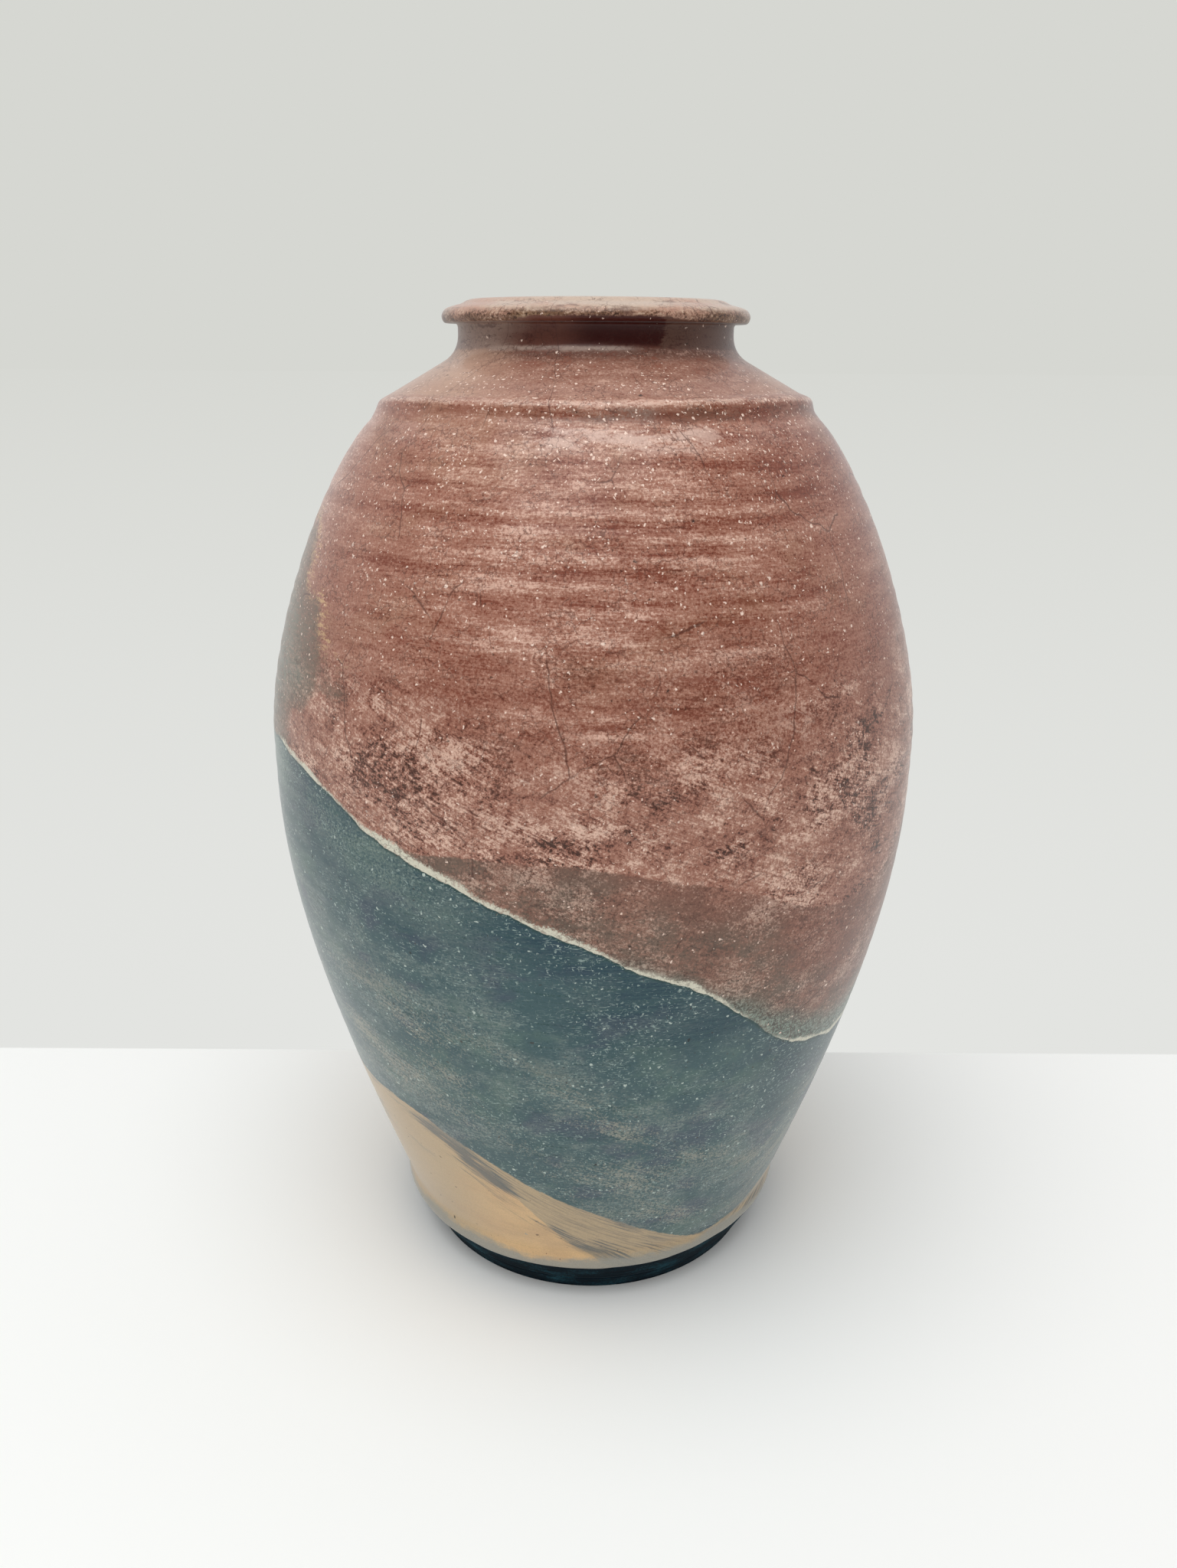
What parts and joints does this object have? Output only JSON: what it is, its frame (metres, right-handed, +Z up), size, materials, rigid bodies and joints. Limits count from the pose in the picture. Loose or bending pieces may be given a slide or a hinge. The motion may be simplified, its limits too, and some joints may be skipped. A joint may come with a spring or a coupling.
{
  "type": "raku vase",
  "caption": "Shouldered raku-fired vase with a ridged shoulder, short neck, rolled lip and bare smoked foot; holds dried stems or stands on show.",
  "frame": {"origin": "centre of the standing ring, on the plane that the vase rests on", "axes": "+Z up along the axis that the vase was thrown about; -Y towards the side that the picture shows"},
  "size_m": [0.198, 0.198, 0.3],
  "materials": {
    "smoked_clay": "matte blue-black clay, carbonised in the smoke, gritty",
    "biscuit_clay": "matte grogged clay body, greyed by smoke",
    "outer_glaze": "satin-gloss raku glazes in dusty rose, slate teal, mauve brown and tan, with fine smoked crackle",
    "lining_glaze": "pale crackled lining glaze"
  },
  "bodies": {
    "root": {"foot_ring": "smoked_clay", "lower_body": "biscuit_clay", "upper_body": "biscuit_clay", "shoulder_collar": "biscuit_clay", "lip_ring": "biscuit_clay", "outer_glaze": "outer_glaze", "lining_glaze": "lining_glaze"}
  },
  "joints": []
}
